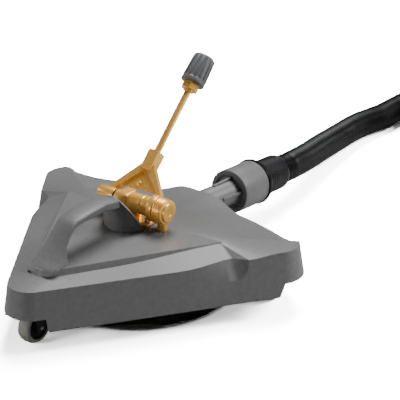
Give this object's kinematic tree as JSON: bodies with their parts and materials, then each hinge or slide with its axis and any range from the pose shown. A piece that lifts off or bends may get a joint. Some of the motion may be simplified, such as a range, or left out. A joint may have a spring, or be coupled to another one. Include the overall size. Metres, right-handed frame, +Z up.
{
  "type": "surface cleaner",
  "caption": "Wheeled flat-surface cleaner: triangular hood, spray rotor inside a brush ring, casters, tilting brass lance coupling and a dirty-water suction hose.",
  "frame": {"origin": "on the floor, under the centre of the machine's bounding box without the hose", "axes": "+X across the machine, +Y to the rear where the hose leaves, +Z up; the nose and carry handle point to -Y"},
  "size_m": [0.7201, 1.494, 0.3174],
  "materials": {
    "hood_grey": "moulded, finely speckled",
    "collar_grey": "moulded",
    "black_plastic": "moulded black",
    "bristle_black": "nylon bristle",
    "brass": "machined",
    "steel": "turned",
    "deck_steel": "sheet",
    "tyre_grey": "grey non-marking tyre",
    "rubber": "black",
    "nut_grey": "fluted grip"
  },
  "bodies": {
    "hood": {"hood_shell": "hood_grey", "carry_handle": "hood_grey", "deck_plate": "deck_steel", "bearing_housing": "deck_steel", "deck_screw_1": "steel", "deck_screw_2": "steel", "deck_screw_3": "steel", "lower_bearing": "steel", "upper_bearing": "steel", "flange_screw_left": "steel", "flange_screw_right": "steel", "pivot_screw": "steel", "brush_holder": "black_plastic", "suction_duct": "black_plastic", "hose_cuff": "black_plastic", "hose_end_cuff": "black_plastic", "brush_ring": "bristle_black", "shaft_seal": "rubber", "stem_seal": "rubber", "pivot_ring_left": "rubber", "collar_seal": "rubber", "suction_hose": "rubber", "hose_coil": "rubber", "cross_tube": "brass", "stem_flange": "brass", "seal_sleeve": "brass", "feed_elbow": "brass", "end_plug": "brass", "ejector_nozzle": "brass", "ejector_pipe": "brass", "outlet_collar": "collar_grey", "front_caster_stem": "steel", "rear_right_caster_stem": "steel", "rear_left_caster_stem": "steel"},
    "rotor": {"rotor_shaft": "steel", "shaft_circlip": "steel", "rotor_hub": "steel", "spray_arm_right": "steel", "spray_arm_left": "steel", "spray_nozzle_right": "brass", "spray_nozzle_left": "brass"},
    "lance": {"yoke": "brass", "lance_tube": "brass", "lance_hex": "brass", "lance_nipple": "brass", "lance_oring": "rubber"},
    "coupling_nut": {"union_nut": "nut_grey"},
    "front_fork": {"front_caster_fork": "black_plastic", "front_caster_axle": "steel"},
    "front_wheel": {"front_caster_rim": "black_plastic", "front_caster_tyre": "tyre_grey"},
    "rear_right_fork": {"rear_right_caster_fork": "black_plastic", "rear_right_caster_axle": "steel"},
    "rear_right_wheel": {"rear_right_caster_rim": "black_plastic", "rear_right_caster_tyre": "tyre_grey"},
    "rear_left_fork": {"rear_left_caster_fork": "black_plastic", "rear_left_caster_axle": "steel"},
    "rear_left_wheel": {"rear_left_caster_rim": "black_plastic", "rear_left_caster_tyre": "tyre_grey"}
  },
  "joints": [
    {"name": "lance_tilt", "type": "hinge", "parent": "hood", "child": "lance", "pos_m": [0, -0.05327, 0.1365], "axis": [1, 0, 0], "range_deg": [-40, 75]},
    {"name": "coupling_nut_spin", "type": "hinge", "parent": "lance", "child": "coupling_nut", "pos_m": [0, 0.1018, 0.29157], "axis": [0, 0.7071, 0.7071], "continuous": true},
    {"name": "rotor_spin", "type": "hinge", "parent": "hood", "child": "rotor", "pos_m": [0, -0.04527, 0.06], "axis": [0, 0, 1], "continuous": true},
    {"name": "front_swivel", "type": "hinge", "parent": "hood", "child": "front_fork", "pos_m": [0, -0.24977, 0.06], "axis": [0, 0, 1], "continuous": true},
    {"name": "front_wheel_spin", "type": "hinge", "parent": "front_fork", "child": "front_wheel", "pos_m": [0, -0.26577, 0.025], "axis": [1, 0, 0], "continuous": true},
    {"name": "rear_right_swivel", "type": "hinge", "parent": "hood", "child": "rear_right_fork", "pos_m": [0.18192, 0.02156, 0.06], "axis": [0, 0, 1], "continuous": true},
    {"name": "rear_right_wheel_spin", "type": "hinge", "parent": "rear_right_fork", "child": "rear_right_wheel", "pos_m": [0.18192, 0.03756, 0.025], "axis": [1, 0, 0], "continuous": true},
    {"name": "rear_left_swivel", "type": "hinge", "parent": "hood", "child": "rear_left_fork", "pos_m": [-0.18192, 0.02156, 0.06], "axis": [0, 0, 1], "continuous": true},
    {"name": "rear_left_wheel_spin", "type": "hinge", "parent": "rear_left_fork", "child": "rear_left_wheel", "pos_m": [-0.18192, 0.03756, 0.025], "axis": [1, 0, 0], "continuous": true}
  ]
}
